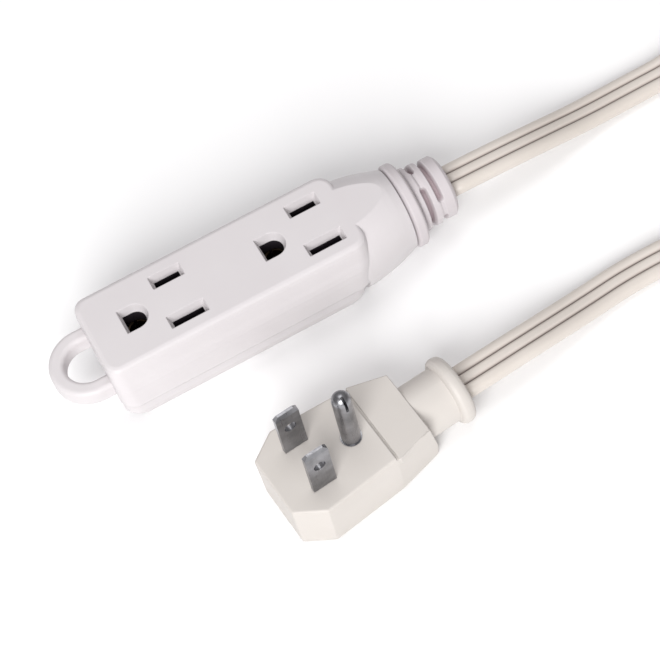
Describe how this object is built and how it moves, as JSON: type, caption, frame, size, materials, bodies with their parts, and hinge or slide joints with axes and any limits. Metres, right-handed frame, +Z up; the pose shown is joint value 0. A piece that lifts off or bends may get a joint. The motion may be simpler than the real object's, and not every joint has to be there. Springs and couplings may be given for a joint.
{
  "type": "extension cord",
  "caption": "Flat-topped extension cord head with grounded outlets in a row, a hang loop, a strain relief boot, flat three-core cord wound in a tied coil, and a right-angle three-pin plug.",
  "frame": {"origin": "middle of the head's underside footprint, on the surface that the head lies on", "axes": "+X from the hang loop towards the cord, +Z up out of the outlets, +Y towards the line slots"},
  "size_m": [0.3019, 0.122, 0.0388],
  "materials": {
    "head_plastic": "satin moulded",
    "boot_plastic": "soft moulded",
    "plug_plastic": "satin moulded",
    "cord_jacket": "extruded vinyl",
    "tie_nylon": "moulded nylon",
    "carrier_plastic": "moulded",
    "brass": "stamped",
    "blade_metal": "nickel plated, drawn",
    "screw_steel": "zinc plated",
    "core_black": "vinyl",
    "core_white": "vinyl",
    "core_green": "vinyl",
    "solder": "tinned"
  },
  "bodies": {
    "root": {"upper_shell": "head_plastic", "lower_shell": "head_plastic", "shell_screws": "screw_steel", "contact_carrier": "carrier_plastic", "line_bus": "brass", "neutral_bus": "brass", "ground_bus": "brass", "strain_relief": "boot_plastic", "head_cord_tail": "cord_jacket", "head_core_line": "core_black", "head_core_neutral": "core_white", "head_core_ground": "core_green", "head_core_ends": "solder", "cord_head_run": "cord_jacket", "cord_coil": "cord_jacket", "cord_plug_run": "cord_jacket", "coil_ties": "tie_nylon", "plug_body": "plug_plastic", "plug_bridge": "carrier_plastic", "line_blade": "blade_metal", "neutral_blade": "blade_metal", "ground_pin": "blade_metal", "plug_crimps": "brass", "plug_core_line": "core_black", "plug_core_neutral": "core_white", "plug_core_ground": "core_green", "plug_cord_tail": "cord_jacket"}
  },
  "joints": []
}
